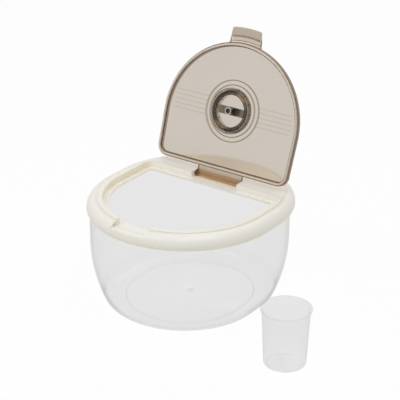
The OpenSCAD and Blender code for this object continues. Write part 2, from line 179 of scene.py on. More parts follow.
# %% Define Recipe
class Recipe:
    """One material, or another tree of nodes, built node by node."""

    def __init__(self, name=None, tree=None):
        if tree is None:
            self.material = bpy.data.materials.new(name)
            self.material.use_nodes = True
            tree = self.material.node_tree
        self.tree = tree
        self.tree.nodes.clear()

    def add(self, kind, settings=None, sockets=None, output=0):
        """A node of that type, with its settings, then its sockets; returns one output."""
        node = self.tree.nodes.new(kind)
        for name, value in (settings or {}).items():
            if name == "stops":
                self.set_stops(node.color_ramp, value)
            else:
                setattr(node, name, value)
        for name, value in (sockets or {}).items():
            self.join(value, node.inputs[name])
        return Wire(self, node.outputs[output]) if node.outputs else node

    def set_stops(self, ramp, stops):
        """Fill a colour ramp from pairs of a place and a colour."""
        while len(ramp.elements) < len(stops):
            ramp.elements.new(0.5)
        for element, (place, colour) in zip(ramp.elements, stops):
            element.position = place
            element.color = (*colour, 1)

    def join(self, value, socket):
        """Link a wire to a socket, or write a plain value in it."""
        if isinstance(value, Wire):
            self.tree.links.new(value.socket, socket)
        elif socket.type == "RGBA":
            socket.default_value = (*value, 1)
        else:
            socket.default_value = value

    def place(self):
        """Where a point of the surface is on the bin, in metres."""
        return self.add("ShaderNodeTexCoord", output="Object")

    def grain(self, scale, detail=3):
        """Soft noise from 0 to 1, with about that many lumps in a metre."""
        return self.add("ShaderNodeTexNoise", {}, {"Vector": self.place(), "Scale": scale, "Detail": detail})

    def vector(self, operation, first, second, output="Vector"):
        """A Vector Math node on two vectors."""
        return self.add("ShaderNodeVectorMath", {"operation": operation}, {0: first, 1: second}, output)

    def along(self, axis, start=ORIGIN):
        """How far a point lies along an axis from a start, in metres."""
        return self.vector("DOT_PRODUCT", self.vector("SUBTRACT", self.place(), start), axis, "Value")

    def away(self, start):
        """How far a point lies from a start, in metres."""
        return self.vector("DISTANCE", self.place(), start, "Value")

    def facing(self, axis, output="True Normal"):
        """1 where the surface faces along an axis, 0 where it stands along it, -1 facing away."""
        normal = self.add("ShaderNodeNewGeometry", output=output)
        settings = {"vector_type": "NORMAL", "convert_from": "WORLD", "convert_to": "OBJECT"}
        turned = self.add("ShaderNodeVectorTransform", settings, {"Vector": normal})
        return self.vector("DOT_PRODUCT", turned, axis, "Value")

    def lean(self, axis):
        """0 on faces square to an axis, 1 on faces that lean 25 degrees or more from that."""
        return ((1 - self.facing(axis).size()) * 10).clamped()

    def seen_along(self):
        """0 where the surface faces the eye, 1 where the eye looks along it."""
        return self.add("ShaderNodeLayerWeight", {}, {"Blend": 0.5}, "Facing")

    def mix(self, amount, first, second):
        """The colour between two colours. In colour mode a Mix node uses sockets 0, 6 and 7."""
        return self.add("ShaderNodeMix", {"data_type": "RGBA"}, {0: amount, 6: first, 7: second}, 2)

    def bump(self, height, depth):
        """A Normal input from a height, at that depth in metres."""
        return self.add("ShaderNodeBump", {}, {"Height": height, "Strength": 1.0, "Distance": depth})

    def finish(self, sockets, depth_colour=None, density=None, shadow=None):
        """Ends the material in one Principled surface.

        The depth colour and its density tint what is seen through it. The shadow colour is
        what lamps shine through it, because a clear thing hardly darkens what lies behind.
        """
        surface = self.add("ShaderNodeBsdfPrincipled", {}, sockets)
        if shadow:
            for_lamps = self.add("ShaderNodeLightPath", output="Is Shadow Ray")
            clear = self.add("ShaderNodeBsdfTransparent", {}, {"Color": shadow})
            surface = self.add("ShaderNodeMixShader", {}, {0: for_lamps, 1: surface, 2: clear})
        ends = {"Surface": surface}
        if depth_colour:
            tint = {"Color": depth_colour, "Density": density}
            ends["Volume"] = self.add("ShaderNodeVolumeAbsorption", {}, tint)
        self.add("ShaderNodeOutputMaterial", {}, ends)
        print(self.material.name, "has", len(self.tree.nodes), "nodes")
        return self.material


trial = Recipe("trial")
upside_down = 1 - trial.along(UP) ** 2
print("1 - height ** 2 became", len(trial.tree.nodes), "nodes, the last:", upside_down.socket.node.operation)
bpy.data.materials.remove(trial.material)

# %% [markdown]
# ## Materials
# A moulded part is never one flat colour: the melt leaves faint flow marks, handling
# leaves a soft haze, and a matt mould leaves a fine grain. A painted image could show all
# that, but it would need unwrapping and would blur close up. So each recipe takes its
# colour from a mix of two near tones and its gloss from noise, at the real scale, and a
# mark is a mask worked out from where a point lies on the bin.

# %% Helpers that the finishes share
FLOW_SCALE = 18
CLOUD_SCALE = 25
HAZE_SCALE = 160
SATIN_SCALE = 2500
HAZE = 0.02
PLASTIC_IOR = 1.46


def grey(tone):
    """A colour without a hue."""
    return (tone, tone, tone)


def flow(recipe, light, dark):
    """Two near tones in slow clouds, as the melt leaves them."""
    return recipe.mix(recipe.grain(FLOW_SCALE, 2), light, dark)


def haze(recipe):
    """The roughness of a handled gloss surface."""
    return HAZE * recipe.grain(HAZE_SCALE, 3)


def height(recipe):
    """How far a point lies above the ground, in metres."""
    return recipe.along(UP)


def strip(value, low, high, blend=0.3):
    """1 where a value in metres lies between two limits in millimetres, and 0 elsewhere."""
    return value.beyond(low * MM, blend * MM) * value.below(high * MM, blend * MM)


def with_marks(recipe, colour, marks):
    """A colour with its marks laid over it, each a mask function and the tone it brings in."""
    for mask, tone in marks:
        colour = recipe.mix(mask(recipe), colour, tone)
    return colour


print("flow marks", round(1000 / FLOW_SCALE), "mm apart, haze lumps", round(1000 / HAZE_SCALE, 1), "mm")

# %% [markdown]
# ## Clear plastic
# The tub and the cup are clear plastic. Real clear plastic bends light, and its index of
# refraction could be set here to do so. But at the size of the picture the bent light
# breaks the edges of a wall 2 mm thick into loose dashes. So the shell lets light pass
# straight through, the tint gets darker where the eye looks along a wall, and a thin gloss
# coat with the true index gives the reflections.

# %% Clear plastic
CLEAR_SHADOW = grey(0.97)
CLEAR_DEPTH_COLOUR = (0.4, 0.37, 0.37)
LOW_TO = 22 * MM
LOW_BLEND = 16 * MM


def clear_plastic(name, tones, density, marks):
    """Clear plastic of two near tones, and two more where it is seen along, high and low."""
    recipe = Recipe(name)
    along_wall = recipe.seen_along().beyond(0.85, 0.3)
    is_high = height(recipe).beyond(LOW_TO, LOW_BLEND)
    wall_tone = recipe.mix(is_high, grey(tones["along low"]), grey(tones["along"]))
    colour = with_marks(recipe, flow(recipe, grey(tones["light"]), grey(tones["dark"])), marks)
    return recipe.finish({
        "Base Color": recipe.mix(along_wall, colour, wall_tone),
        "Roughness": haze(recipe),
        "IOR": 1.0,
        "Transmission Weight": 1.0,
        "Coat Weight": 0.4 * (1 - along_wall),
        "Coat Roughness": 0.03,
        "Coat IOR": PLASTIC_IOR,
    }, depth_colour=CLEAR_DEPTH_COLOUR, density=density, shadow=CLEAR_SHADOW)


print("clear plastic lets", CLEAR_SHADOW[0], "of the lamps' light through")

# %% [markdown]
# ## The tub's clear plastic
# A blown or injected tub shows faint lines where its wall changes: the thick curve over
# the foot, the step round the raised panel in the bottom and the scar in its middle, where
# the melt came in. They could be left to the mesh alone, but a wall that doesn't bend
# light hardly shows them. Each is a soft mark of painted shade, laid by its distance from the tub's middle.

# %% Marks on the tub
TUB_STRAIGHT = 12
PANEL_STRAIGHT = 8.5
TUB_TONES = {"light": 0.991, "dark": 0.979, "along": 0.955, "along low": 0.66}
TUB_DENSITY = 6


def stadium_reach(recipe, straight):
    """How far a point of the tub lies from its middle line, whose half length is in millimetres."""
    past = (recipe.along(BACK).size() - straight * MM).clamped()
    return (recipe.along(RIGHT) ** 2 + past ** 2) ** 0.5


def on_foot_curve(recipe):
    """The thick curve between the foot's panel and the wall."""
    outside_panel = stadium_reach(recipe, TUB_STRAIGHT).beyond(100 * MM, 20 * MM)
    return outside_panel * height(recipe).below(17 * MM, 8 * MM)


def on_foot_outline(recipe):
    """The foot curve where it is seen along its wall."""
    near_wall = stadium_reach(recipe, TUB_STRAIGHT).beyond(106 * MM, 4 * MM)
    return recipe.seen_along().beyond(0.76, 0.2) * near_wall * height(recipe).below(15 * MM, 10 * MM)


def in_bottom(recipe):
    """The bottom of the tub, with both of its faces."""
    return height(recipe).below(6 * MM, 1 * MM)


def on_panel_edge(recipe):
    """The step round the panel that is raised off the ground."""
    return strip(stadium_reach(recipe, PANEL_STRAIGHT), 80.6, 82, 0.6) * in_bottom(recipe)


def on_gate(recipe):
    """The scar in the middle of the bottom, where the melt came in."""
    return strip(stadium_reach(recipe, 0), 1.8, 4.4, 1.2) * in_bottom(recipe)


TUB_MARKS = [
    (on_foot_curve, grey(0.965)),
    (on_foot_outline, grey(0.66)),
    (on_panel_edge, grey(0.86)),
    (on_gate, grey(0.86)),
]
TUB_CLEAR = clear_plastic("tub_clear_plastic", TUB_TONES, TUB_DENSITY, TUB_MARKS)

# %% [markdown]
# ## The cup's clear plastic
# The cup is a thinner and slightly milky moulding. Its two marks are painted shade at its foot
# ring and at the edge of its flat rim. They could be thin dark rings of mesh, but marks laid by
# distance from the cup's own axis follow its shape at no cost.

# %% Marks on the cup
CUP_AT = (205.6, -84.0)
CUP_TONES = {"light": 0.98, "dark": 0.97, "along": 0.96, "along low": 0.92}
CUP_DENSITY = 12


def cup_reach(recipe):
    """How far a point of the cup lies from the cup's axis, in metres."""
    axis = Vector((*CUP_AT, 0)) * MM
    return (recipe.along(RIGHT, axis) ** 2 + recipe.along(BACK, axis) ** 2) ** 0.5


def on_cup_foot(recipe):
    """The cup's foot ring and the curve over it."""
    return strip(cup_reach(recipe), 21.5, 23.5, 0.8) * height(recipe).below(3 * MM, 1 * MM)


def on_cup_rim(recipe):
    """The edge of the cup's flat rim."""
    return height(recipe).beyond(76.3 * MM, 0.6 * MM) * cup_reach(recipe).beyond(31.4 * MM, 0.6 * MM)


CUP_MARKS = [(on_cup_foot, grey(0.925)), (on_cup_rim, grey(0.935))]
CUP_CLEAR = clear_plastic("cup_clear_plastic", CUP_TONES, CUP_DENSITY, CUP_MARKS)

# %% [markdown]
# ## Smoked plastic
# A smoked sheet looks pale where light goes straight through it and dark brown where a
# wall or a step bends the light along the sheet. The recipes below find those places in
# two ways: from the lean of a face against the sheet, and from how far a point lies from
# the lid's outline or from the dial's axis, so that each wall draws an even dark line.
# LidPlaces works those distances out, with the same sums that laid out the lid.

# %% Places on the open lid
HINGE = Vector((0, 64.5, 144.6)) * MM
LID_OPEN = math.radians(109)
SHEET_AXIS = Vector((0, math.sin(LID_OPEN), math.cos(LID_OPEN)))
FRONTWARD = Vector((0, -math.cos(LID_OPEN), math.sin(LID_OPEN)))
DIAL_FORWARD = 92.8 * MM
DIAL_CENTRE = HINGE + DIAL_FORWARD * FRONTWARD
LID_R = 106.6 * MM
LID_CENTRE_FORWARD = 77.7 * MM
LID_REAR_FORWARD = 11.75 * MM
LID_CORNER_R = 15 * MM
LID_LEAN = math.radians(1.4)
LIP_CENTRE_FORWARD = 75 * MM


class LidPlaces:
    """Where a point of the lid lies: from the hinge, from the outline and from the dial."""

    def __init__(self, recipe):
        self.beside = recipe.along(RIGHT, HINGE).size()
        self.forward = recipe.along(FRONTWARD, HINGE)
        self.outward = recipe.along(SHEET_AXIS, HINGE)
        self.off_dial = (recipe.away(DIAL_CENTRE) ** 2 - self.outward ** 2).clamped() ** 0.5
        ahead = self.forward - LID_CENTRE_FORWARD
        reach = (self.beside ** 2 + ahead.clamped() ** 2) ** 0.5
        reach = reach - math.tan(LID_LEAN) * ahead.clamped(-1, 0)
        past_side = reach - (LID_R - LID_CORNER_R)
        past_rear = (LID_REAR_FORWARD + LID_CORNER_R) - self.forward
        corner = (past_side.clamped() ** 2 + past_rear.clamped() ** 2) ** 0.5
        self.inward = LID_CORNER_R - corner - past_side.greater(past_rear).clamped(-1, 0)
        self.off_lip_centre = (self.beside ** 2 + (self.forward - LIP_CENTRE_FORWARD) ** 2) ** 0.5


print("the dial's axis crosses the open lid at", [round(c, 4) for c in DIAL_CENTRE])

# %% [markdown]
# ## The smoked lid
# The lid is one smoked moulding: a thin sheet with a band round its edge, five fine ribs on
# each side of a dished seat for the dial, a barrel for the hinge at its rear and a finger
# tab with a bent lip in front. It could be plain tinted glass, which draws its own lines,
# but they flicker with the size of the picture. So each feature is one short function that
# lays its tone over the colour so far, from the sheet itself to the lines of the hinge.

# %% Tones and walls of the lid
LID_TONES = {
    "sheet": (0.84, 0.806, 0.75), "sheet cloud": (0.83, 0.796, 0.74),
    "painted shade by hinge": (0.812, 0.776, 0.716), "rib": (0.735, 0.70, 0.642),
    "edge": (0.30, 0.20, 0.12), "edge by dial": (0.05, 0.02, 0.01),
    "edge by hinge": (1.0, 0.84, 0.66), "edge of lip": (0.62, 0.55, 0.48),
    "edge on sheet": (0.55, 0.51, 0.46), "dish wall": (0.34, 0.26, 0.18),
    "band wall": (0.2, 0.155, 0.115), "neck": (0.9, 0.88, 0.85),
    "neck side": (0.3, 0.22, 0.16), "lip": (0.36, 0.28, 0.21), "hinge line": (0.3, 0.2, 0.12),
}
# Painted shade on the sheet is full this near the hinge and fades out over the next span
HINGE_SHADE_FROM = 22 * MM
HINGE_SHADE_FADE = 24 * MM
RIB_PITCH = 6.27 * MM
RIBS_FORWARD = (77, 108.5)
RIBS_BESIDE = (0, 93)
DISH_WALLS = ((40.8, 42), (34.4, 35.6))
BAND_WALLS = ((-0.3, 0.9), (4.0, 5.6))
BAND_WIDTH = 6 * MM
DIAL_ZONE_R = 46 * MM
BARREL_END = 11 * MM
LIP_R = 117 * MM


def lid_sheet(recipe, at):
    """The sheet's clouds, painted shade towards the hinge, and the ribs beside the dial."""
    sheet = flow(recipe, LID_TONES["sheet"], LID_TONES["sheet cloud"])
    # Painted shade: the sheet is darker towards the hinge
    shade_by_hinge = 1 - ((at.forward - HINGE_SHADE_FROM) / HINGE_SHADE_FADE).clamped()
    sheet = recipe.mix(shade_by_hinge, sheet, LID_TONES["painted shade by hinge"])
    # The half lays a rib level with the dial, and the ten keeps every place above zero
    ribs = (at.forward - DIAL_FORWARD) / RIB_PITCH + 10.5
    on_rib = (ribs.fraction() - 0.5).size().below(0.09, 0.06) * strip(at.forward, *RIBS_FORWARD)
    on_rib = on_rib * strip(at.beside, *RIBS_BESIDE) * at.off_dial.beyond(DISH_WALLS[0][1] * MM)
    return recipe.mix(on_rib, sheet, LID_TONES["rib"])


def lid_edges(recipe, at):
    """The tone of faces that lean from the sheet, from the dial out to the tab's lip."""
    near_dial = at.off_dial.below(DIAL_ZONE_R)
    edge = recipe.mix(near_dial, LID_TONES["edge"], LID_TONES["edge by dial"])
    # Painted highlight: near the hinge the leaning faces are a bright orange
    edge = recipe.mix(at.forward.below(BARREL_END + 0.5 * MM), edge, LID_TONES["edge by hinge"])
    edge = recipe.mix(at.off_lip_centre.beyond(LIP_R), edge, LID_TONES["edge of lip"])
    return recipe.mix(at.inward.beyond(BAND_WIDTH) * (1 - near_dial), edge, LID_TONES["edge on sheet"])


def lid_walls(recipe, at, colour):
    """The upright walls of the dial's dish and of the band round the edge."""
    outer, inner = [strip(at.off_dial, *limits) for limits in DISH_WALLS]
    colour = recipe.mix(outer + inner, colour, LID_TONES["dish wall"])
    outer, inner = [strip(at.inward, *limits) for limits in BAND_WALLS]
    past_barrel = at.forward.beyond(BARREL_END + 0.6 * MM)
    return recipe.mix((outer + inner) * past_barrel, colour, LID_TONES["band wall"])


print("tones of the lid:", len(LID_TONES))

# %% [markdown]
# ## The lid's tab and hinge
# The finger tab is the same plastic with light and shade painted on it: a painted highlight on its
# flat neck, painted shade on its sides, and painted shade on its lip, deepest at the bend and
# fading to its free edge. They could be three materials, but faces that small would need picking
# after every change. The lines at the ends of the hinge's barrel and along its outline are laid the same
# way.

# %% Tab, hinge and the whole lid
TAB_FORWARD = 180 * MM
TAB_HALF_WIDTH = 24.3 * MM
BEND = 0.4 * MM
LIP_FADE = 4 * MM
LIP_TINT = 0.12
BEND_SHADE = 0.36
BARREL_R = 4.4 * MM
BARREL_END_LINE = (34.9, 36.2)


def lid_tab(recipe, at, colour):
    """The tab's neck with a painted highlight and painted shade on its sides, and its lip with painted shade
    that fades away from its bend.
    """
    on_tab = at.forward.beyond(TAB_FORWARD) * at.inward.below(-0.5 * MM)
    on_neck = on_tab * at.off_lip_centre.below(LIP_R - BEND, 2 * BEND)
    neck_side = at.beside.beyond(TAB_HALF_WIDTH - 1 * MM)
    # Painted highlight on the flat neck, and painted shade on its sides
    colour = recipe.mix(on_neck * (1 - neck_side), colour, LID_TONES["neck"])
    colour = recipe.mix(on_neck * neck_side, colour, LID_TONES["neck side"])
    # Painted shade along the inner edge of the lip
    colour = recipe.mix(on_tab * strip(at.inward, -3.2, -2.2), colour, LID_TONES["lip"])
    # Painted shade on the lip, deepest at its bend
    near_bend = 1 - ((at.off_lip_centre - (LIP_R + BEND)) / LIP_FADE).clamped()
    on_lip = on_tab * at.off_lip_centre.beyond(LIP_R)
    return recipe.mix(on_lip * (LIP_TINT + BEND_SHADE * near_bend), colour, LID_TONES["lip"])


def lid_hinge(recipe, at, colour):
    """The lines at the ends of the hinge's barrel and along its outline."""
    end_line = strip(at.beside, *BARREL_END_LINE, 0.5)
    # Painted shade along the barrel's outline, where the eye looks along its surface
    outline = recipe.seen_along().beyond(0.8, 0.2) * at.forward.below(BARREL_R)
    on_hinge = at.forward.below(BARREL_END)
    return recipe.mix(on_hinge * (end_line + outline).clamped(), colour, LID_TONES["hinge line"])


def smoked_lid():
    """The lid's material, with every feature laid over the sheet."""
    recipe = Recipe("lid_smoked_plastic")
    at = LidPlaces(recipe)
    colour = recipe.mix(recipe.lean(SHEET_AXIS), lid_sheet(recipe, at), lid_edges(recipe, at))
    for lay in (lid_walls, lid_tab, lid_hinge):
        colour = lay(recipe, at, colour)
    return recipe.finish({
        "Base Color": colour,
        "Roughness": haze(recipe),
        "IOR": 1.08,
        "Transmission Weight": 1.0,
        "Coat Weight": 0.35,
        "Coat Roughness": 0.22,
        "Coat IOR": PLASTIC_IOR,
    }, depth_colour=(0.56, 0.375, 0.185), density=100, shadow=(0.88, 0.85, 0.82))


LID_SMOKE = smoked_lid()

# %% [markdown]
# ## The smoked dial
# The knob outside the lid and the keeper inside it are turned shapes in a darker smoke,
# with a bar across each, and the eye sees them as rings of many tones, among them a painted
# highlight and painted shade at the keeper's edges and steps. Every ring could be a material
# of its own, with faces picked by hand. A colour ramp over the distance from the axis does the
# same in one table, and a painted copper glint crosses it on two sides, where light catches the
# keeper's groove. The boss's face, round the screw, is given a metal's shine as a painted glint.

# %% Tones of the dial
DIAL_LIMIT = 32 * MM
# Distance from the axis in millimetres, and the tone there
# In the keeper, the pale ring from 27.9 to 28.8 mm is a painted highlight on the rounded edge of its front,
# and the dark rings on either side are painted shade at its steps
KEEPER_TONES = [
    (21.0, (0.50, 0.45, 0.37)), (21.8, (0.03, 0.027, 0.027)), (23.5, (0.07, 0.065, 0.065)),
    (25.6, (0.05, 0.045, 0.048)), (26.2, (0.004, 0.003, 0.003)), (27.2, (0.006, 0.005, 0.005)),
    (27.9, (0.70, 0.62, 0.54)), (28.8, (0.90, 0.83, 0.75)), (29.3, (0.14, 0.09, 0.06)),
    (30.2, (0.62, 0.54, 0.46)), (30.9, (0.50, 0.43, 0.36)), (31.2, (0.05, 0.04, 0.03)),
]
KNOB_TONES = [
    (7.0, (0.03, 0.025, 0.025)), (7.6, (0.62, 0.58, 0.51)), (21.0, (0.62, 0.58, 0.51)),
    (22.4, (0.88, 0.85, 0.82)), (25.0, (0.85, 0.82, 0.78)), (26.5, (0.62, 0.57, 0.49)),
    (28.6, (0.50, 0.45, 0.37)), (29.0, (0.28, 0.24, 0.19)),
]
KEEPER_BACK_TONE = (0.75, 0.72, 0.68)
KEEPER_BACK_FACE = -3.6 * MM
GLINT_TONE = (0.70, 0.36, 0.14)
GLINT_RING = (23, 26.2)
GLINT_TURN = math.radians(60)
GLINT_WAY = math.cos(GLINT_TURN) * RIGHT + math.sin(GLINT_TURN) * FRONTWARD
BOSS_GLINT_TONE = (0.55, 0.53, 0.51)
BOSS_RING = (3.4, 6)
BOSS_FACE = -8.8 * MM
print("tones of the keeper:", len(KEEPER_TONES), "and of the knob:", len(KNOB_TONES))


# %% Smoked dial
def smoked_dial(name, tones, back_tone=None):
    """Smoked plastic whose tone follows the distance from the dial's axis."""
    recipe = Recipe(name)
    at = LidPlaces(recipe)
    stops = [(radius * MM / DIAL_LIMIT, tone) for radius, tone in tones]
    colour = recipe.add("ShaderNodeValToRGB", {"stops": stops}, {"Fac": at.off_dial / DIAL_LIMIT})
    colour = recipe.mix(0.1 * recipe.grain(40, 2), colour, grey(0))
    if back_tone:
        # Painted copper glint on two sides of the keeper's groove
        glint = (recipe.along(GLINT_WAY, DIAL_CENTRE) / at.off_dial).size().beyond(0.95, 0.08)
        colour = recipe.mix(glint * strip(at.off_dial, *GLINT_RING), colour, GLINT_TONE)
        colour = recipe.mix(at.outward.beyond(KEEPER_BACK_FACE), colour, back_tone)
    # Painted glint: the boss's face round the screw is a light metal, for the bright ring of light on it
    on_boss = at.outward.below(BOSS_FACE) * strip(at.off_dial, *BOSS_RING)
    return recipe.finish({
        "Base Color": recipe.mix(on_boss, colour, BOSS_GLINT_TONE),
        "Metallic": 0.9 * on_boss,
        "Roughness": haze(recipe),
        "IOR": 1.1,
        "Transmission Weight": 1.0,
        "Coat Weight": 0.6,
        "Coat Roughness": 0.03,
        "Coat IOR": PLASTIC_IOR,
    }, depth_colour=(0.43, 0.31, 0.17), density=60, shadow=(0.6, 0.57, 0.54))


KEEPER_SMOKE = smoked_dial("keeper_smoked_plastic", KEEPER_TONES, KEEPER_BACK_TONE)
KNOB_SMOKE = smoked_dial("knob_smoked_plastic", KNOB_TONES)

# %% [markdown]
# ## Opaque plastic
# The collar is an opaque ivory moulding with a soft shine, the o-ring is rubber, and the
# dial's numbers are ink: all three are a solid colour in slow clouds under a fine grain.
# The grain could be real dents in the mesh, but they are 0.02 mm deep or less, so a Bump
# node does it at the mould's scale. A coarser bump would ripple on the collar's wide deck.


# %% Opaque plastic
def moulded_plastic(name, light, dark, roughness, marks=(), grain_scale=900, grain_depth=0.00002):
    """Opaque plastic: two near tones in slow clouds and a fine mould grain, in metres deep."""
    recipe = Recipe(name)
    colour = with_marks(recipe, recipe.mix(recipe.grain(CLOUD_SCALE, 4), light, dark), marks)
    fine = recipe.grain(grain_scale, 2)
    return recipe.finish({
        "Base Color": colour,
        "Roughness": roughness + 0.08 * fine,
        "IOR": 1.5,
        "Normal": recipe.bump(fine, grain_depth),
    })


O_RING_RUBBER = moulded_plastic("o_ring_rubber", grey(0.03), grey(0.02), 0.6)

# %% [markdown]
# ## The collar's ivory
# Ivory plastic glows a little yellow where light reaches it only from its own walls, as in the
# crease beside the deck, on the undersides and in the opening. Light that bounces makes some of
# that by itself, but a bright studio keeps it faint. So four soft marks of painted shade, yellowed
# like that bounced light, deepen the ivory there, found from the collar's outline and from the way a face
# turns.

# %% Marks on the collar
COLLAR_HALF_WIDTH = 130 * MM
COLLAR_FRONT_Y = -10.5 * MM
COLLAR_REAR_R = 122.5 * MM
COLLAR_REAR_CENTRE = (7.5 * MM, 18 * MM)
CREASE = (10.8, 14.4)
OPENING_HEIGHTS = (141.6, 148.7)
DECK_FROM = 140 * MM


def collar_inward(recipe):
    """How far a point lies inside the collar's outline, in metres."""
    beside = recipe.along(RIGHT).size()
    back = recipe.along(BACK)
    ahead = (COLLAR_FRONT_Y - back).clamped()
    front = COLLAR_HALF_WIDTH - (beside ** 2 + ahead ** 2) ** 0.5
    past_side = beside - COLLAR_REAR_CENTRE[0]
    past_rear = back - COLLAR_REAR_CENTRE[1]
    corner = (past_side.clamped() ** 2 + past_rear.clamped() ** 2) ** 0.5
    inner = past_side.greater(past_rear).clamped(-1, 0)
    return front.lesser(COLLAR_REAR_R - corner - inner)


def in_crease(recipe):
    """The crease between the collar's shoulder and its deck, where little light gets in."""
    return strip(collar_inward(recipe), *CREASE, 4) * height(recipe).beyond(DECK_FROM)


def on_low_side(recipe):
    """The sides and undersides of the collar, where its own ivory colours the light."""
    return ((0.55 - recipe.facing(UP, "Normal")) / 0.8).clamped()


def in_opening(recipe):
    """The upright walls of the opening, between the ledge and the deck."""
    return collar_inward(recipe).beyond(18 * MM) * strip(height(recipe), *OPENING_HEIGHTS, 0.6)


def on_right_facing_wall(recipe):
    """The opening's and the notch's walls that turn from the key lamp."""
    return recipe.facing(RIGHT).beyond(0.6, 0.3) * collar_inward(recipe).beyond(8 * MM)


# Painted shade, yellowed like bounced light, where the collar's faces get less light
COLLAR_MARKS = [
    (on_low_side, (0.85, 0.80, 0.69)),
    (in_opening, (0.94, 0.915, 0.83)),
    (on_right_facing_wall, (0.96, 0.88, 0.70)),
    (in_crease, (0.79, 0.765, 0.69)),
]
COLLAR_IVORY = moulded_plastic(
    "collar_ivory_plastic", (0.86, 0.84, 0.775), (0.84, 0.815, 0.745), 0.24, COLLAR_MARKS,
    grain_scale=2600, grain_depth=0.000004)

# %% [markdown]
# ## Silicone and steel
# The lid's seal is milky silicone, which lets some light through, so it looks pale on its
# flat face, and its sides, where it lies against the smoked lid, get painted brown shade. The
# screw and its washer are blackened steel: a full metal with a dark colour and a satin grain in
# its roughness. Black paint would look too flat beside it.


# %% Silicone and steel
def translucent_seal():
    """Milky silicone, pale on its flat face, with painted brown shade on its sides beside the smoked lid."""
    recipe = Recipe("seal_silicone")
    flat = recipe.mix(recipe.grain(60, 3), (0.86, 0.76, 0.66), (0.83, 0.73, 0.63))
    return recipe.finish({
        # Painted shade: brown on the faces that lean from the flat face
        "Base Color": recipe.mix(recipe.lean(SHEET_AXIS), flat, (0.6, 0.5, 0.4)),
        "Roughness": 0.3 + 0.1 * recipe.grain(700, 2),
        "IOR": 1.3,
        "Transmission Weight": 0.35,
    }, shadow=(0.85, 0.8, 0.75))


def blackened_steel():
    """Blackened steel with a fine satin grain."""
    recipe = Recipe("screw_blackened_steel")
    fine = recipe.grain(SATIN_SCALE, 2)
    return recipe.finish({
        "Base Color": recipe.mix(fine, (0.10, 0.10, 0.11), (0.06, 0.06, 0.065)),
        "Metallic": 1.0,
        "Roughness": 0.3 + 0.14 * fine,
    })


SEAL_SILICONE = translucent_seal()
SCREW_STEEL = blackened_steel()
print("materials so far:", sorted(material.name for material in bpy.data.materials))

# %% [markdown]
# ## Building meshes
# The bin's meshes are made in two ways. The first is a loft, which joins a row of closed
# rings with quads. It suits the thin clear walls, where every ring is exact. A modifier such
# as Screw could turn the cup as well, but not the tub, whose half-round ends are apart.


# %% Arcs and lofts
def make_object(name, mesh, material, body):
    """An object from a mesh, with its material and the body it rides on."""
    obj = bpy.data.objects.new(name, mesh)
    bpy.context.scene.collection.objects.link(obj)
    mesh.materials.append(material)
    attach(obj, body)
    return obj


def smooth(mesh, angle):
    """Smooth shading, with edges sharper than that angle in degrees kept sharp."""
    work = bmesh.new()
    work.from_mesh(mesh)
    bmesh.ops.recalc_face_normals(work, faces=work.faces)
    for face in work.faces:
        face.smooth = True
    for edge in work.edges:
        edge.smooth = edge.calc_face_angle(0) < math.radians(angle)
    work.to_mesh(mesh)
    work.free()


SHELL_CORNER = 35


def loft(name, rings):
    """A closed mesh from rings with equal counts, with a face on the first and the last."""
    count = len(rings[0])
    points = [tuple(point) for ring in rings for point in ring]
    faces = []
    for start in range(0, len(points) - count, count):
        for k in range(count):
            after = (k + 1) % count
            faces.append((start + k, start + after, start + count + after, start + count + k))
    faces.append(tuple(reversed(range(count))))
    faces.append(tuple(range(len(points) - count, len(points))))
    mesh = bpy.data.meshes.new(name)
    mesh.from_pydata(points, [], faces)
    mesh.validate()
    smooth(mesh, SHELL_CORNER)
    return mesh


def arc(centre, radius, start, end, steps):
    """Points of an arc in a section, from start to end in degrees."""
    turns = [math.radians(start + (end - start) * i / steps) for i in range(steps + 1)]
    return [(centre[0] + radius * math.cos(t), centre[1] + radius * math.sin(t)) for t in turns]


print("a quarter of a circle in 2 steps:", [(round(x, 2), round(y, 2)) for x, y in arc((0, 0), 1, 0, 90, 2)])

# %% [markdown]
# ## Softened copies
# The second way serves the opaque and smoked mouldings. They could be lofted too, but the
# packed solids have all their shapes, apart from one thing: a real moulding has no sharp
# edge, and the round of a few tenths of a millimetre is what catches the light. The copy
# welds the solid's triangles and joins those in one plane, and a Bevel modifier rounds the
# edges. On the collar's wide flat faces the normals are weighted by area, so that the round
# doesn't tilt them.

# %% Softened copies
WELD = 2e-6
SAME_PLANE = math.radians(0.6)
SHARP_FROM = math.radians(32)
SOFT_CORNER = 30
BEVEL_STEPS = 3


def apply_modifiers(obj):
    """Turn the object's modifiers into plain mesh."""
    graph = bpy.context.evaluated_depsgraph_get()
    done = bpy.data.meshes.new_from_object(obj.evaluated_get(graph))
    obj.modifiers.clear()
    obj.data = done


def softened(node, width, body, material, flat=False):
    """A copy of a packed solid with its sharp edges rounded by that width in metres.

    With flat, wide faces keep their own normals up to the rounding.
    """
    work = bmesh.new()
    work.from_mesh(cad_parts[node].data)
    bmesh.ops.remove_doubles(work, verts=work.verts, dist=WELD)
    bmesh.ops.dissolve_limit(work, angle_limit=SAME_PLANE, verts=work.verts, edges=work.edges)
    mesh = bpy.data.meshes.new(node + "_soft")
    work.to_mesh(mesh)
    work.free()
    obj = make_object(node + "_piece", mesh, material, body)
    bevel = obj.modifiers.new("edges", "BEVEL")
    bevel.width = width
    bevel.segments = BEVEL_STEPS
    bevel.limit_method = "ANGLE"
    bevel.angle_limit = SHARP_FROM
    apply_modifiers(obj)
    smooth(obj.data, SOFT_CORNER)
    if flat:
        obj.modifiers.new("normals", "WEIGHTED_NORMAL").keep_sharp = True
        apply_modifiers(obj)
    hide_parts(node)
    print(obj.name, len(obj.data.polygons), "faces")


print("edges sharper than", round(math.degrees(SHARP_FROM)), "degrees get", BEVEL_STEPS, "facets")

# %% [markdown]
# ## The tub
# The tub is one moulding of clear plastic 2.4 mm thick. From above it has two half-round
# ends and two short straight sides, and from the front its wall bulges out of a tight foot
# curve. A scaled cylinder would give it neither the straight sides nor the foot. So its
# section is drawn from three lines that meet without a corner: the foot curve, the long
# side curve and the upright wall. The sizes are in millimetres.

